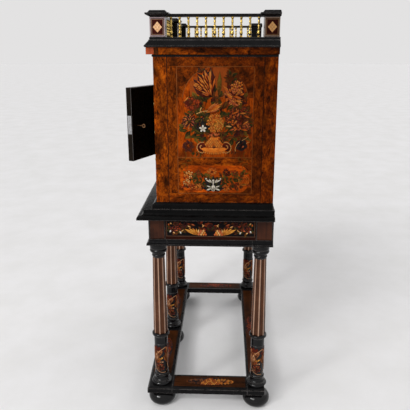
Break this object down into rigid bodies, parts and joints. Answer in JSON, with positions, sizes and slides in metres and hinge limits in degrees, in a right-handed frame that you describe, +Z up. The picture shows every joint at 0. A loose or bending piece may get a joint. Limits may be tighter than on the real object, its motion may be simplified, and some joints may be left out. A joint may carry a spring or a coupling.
{
  "type": "cabinet on stand",
  "caption": "Marquetry cabinet with drawers, a centre door and a balustraded gallery, on a stand of fluted columns joined by a flat stretcher frame on bun feet.",
  "frame": {"origin": "on the floor under the middle of the case", "axes": "+X along the front to the right end, +Y from front to back, +Z up"},
  "size_m": [1.178, 0.6753, 1.722],
  "materials": {
    "ebonised_wood": "black polished",
    "rosewood": "polished",
    "burr_walnut": "polished veneer",
    "carcass_wood": "plain",
    "gilt_brass": "gilt",
    "steel": "worn bright"
  },
  "bodies": {
    "cabinet": {"foot_front_left": "ebonised_wood", "foot_front_middle": "ebonised_wood", "foot_front_right": "ebonised_wood", "foot_back_left": "ebonised_wood", "foot_back_right": "ebonised_wood", "lower_frame": "ebonised_wood", "stand_top": "ebonised_wood", "base_moulding": "ebonised_wood", "neck_bead": "ebonised_wood", "cornice": "ebonised_wood", "gallery_posts": "ebonised_wood", "gallery_rails": "ebonised_wood", "column_front_left": "rosewood", "column_front_middle": "rosewood", "column_front_right": "rosewood", "column_back_left": "rosewood", "column_back_right": "rosewood", "stretcher_front": "rosewood", "stretcher_back": "rosewood", "stretcher_left": "rosewood", "stretcher_right": "rosewood", "apron_front": "rosewood", "apron_back": "rosewood", "apron_left": "rosewood", "apron_right": "rosewood", "left_end": "burr_walnut", "right_end": "burr_walnut", "frieze": "burr_walnut", "dust_boards": "burr_walnut", "left_divider": "burr_walnut", "right_divider": "burr_walnut", "case_bottom": "carcass_wood", "case_top": "carcass_wood", "back_panel": "carcass_wood", "gallery_balusters": "gilt_brass", "case_hinge_leaves": "gilt_brass", "hinge_pins": "gilt_brass"},
    "door": {"door_panel": "ebonised_wood", "door_hinge_leaves": "gilt_brass", "door_lock": "steel", "door_escutcheon": "gilt_brass"},
    "bolt": {"lock_bolt": "steel"},
    "key": {"door_key": "steel"},
    "lower_drawer": {"lower_drawer": "burr_walnut", "lower_drawer_pull": "gilt_brass"},
    "upper_drawer": {"upper_drawer": "burr_walnut", "upper_drawer_pull": "gilt_brass"},
    "left_drawer_1": {"left_drawer_1": "burr_walnut", "left_drawer_1_pull": "gilt_brass"},
    "left_drawer_2": {"left_drawer_2": "burr_walnut", "left_drawer_2_pull": "gilt_brass"},
    "left_drawer_3": {"left_drawer_3": "burr_walnut", "left_drawer_3_pull": "gilt_brass"},
    "right_drawer_1": {"right_drawer_1": "burr_walnut", "right_drawer_1_pull": "gilt_brass"},
    "right_drawer_2": {"right_drawer_2": "burr_walnut", "right_drawer_2_pull": "gilt_brass"},
    "right_drawer_3": {"right_drawer_3": "burr_walnut", "right_drawer_3_pull": "gilt_brass"}
  },
  "joints": [
    {"name": "door_swing", "type": "hinge", "parent": "cabinet", "child": "door", "pos_m": [-0.211, -0.2423, 1.2455], "axis": [0, 0, -1], "range_deg": [-25, 65]},
    {"name": "key_turn", "type": "hinge", "parent": "door", "child": "key", "pos_m": [0.13618, -0.3851, 1.2395], "axis": [0.4226, 0.9063, 0], "range_deg": [0, 180]},
    {"name": "bolt_slide", "type": "slide", "parent": "door", "child": "bolt", "axis": [0.9063, -0.4226, 0], "range_m": [0, 0.008]},
    {"name": "lower_drawer_slide", "type": "slide", "parent": "cabinet", "child": "lower_drawer", "axis": [0, -1, 0], "range_m": [0, 0.28]},
    {"name": "upper_drawer_slide", "type": "slide", "parent": "cabinet", "child": "upper_drawer", "axis": [0, -1, 0], "range_m": [0, 0.28]},
    {"name": "left_drawer_1_slide", "type": "slide", "parent": "cabinet", "child": "left_drawer_1", "axis": [0, -1, 0], "range_m": [0, 0.28]},
    {"name": "left_drawer_2_slide", "type": "slide", "parent": "cabinet", "child": "left_drawer_2", "axis": [0, -1, 0], "range_m": [0, 0.28]},
    {"name": "left_drawer_3_slide", "type": "slide", "parent": "cabinet", "child": "left_drawer_3", "axis": [0, -1, 0], "range_m": [0, 0.28]},
    {"name": "right_drawer_1_slide", "type": "slide", "parent": "cabinet", "child": "right_drawer_1", "axis": [0, -1, 0], "range_m": [0, 0.28]},
    {"name": "right_drawer_2_slide", "type": "slide", "parent": "cabinet", "child": "right_drawer_2", "axis": [0, -1, 0], "range_m": [0, 0.28]},
    {"name": "right_drawer_3_slide", "type": "slide", "parent": "cabinet", "child": "right_drawer_3", "axis": [0, -1, 0], "range_m": [0, 0.28]}
  ],
  "couplings": [
    {"joint": "key_turn", "follows": "bolt_slide", "rad_per_m": 392.69}
  ]
}
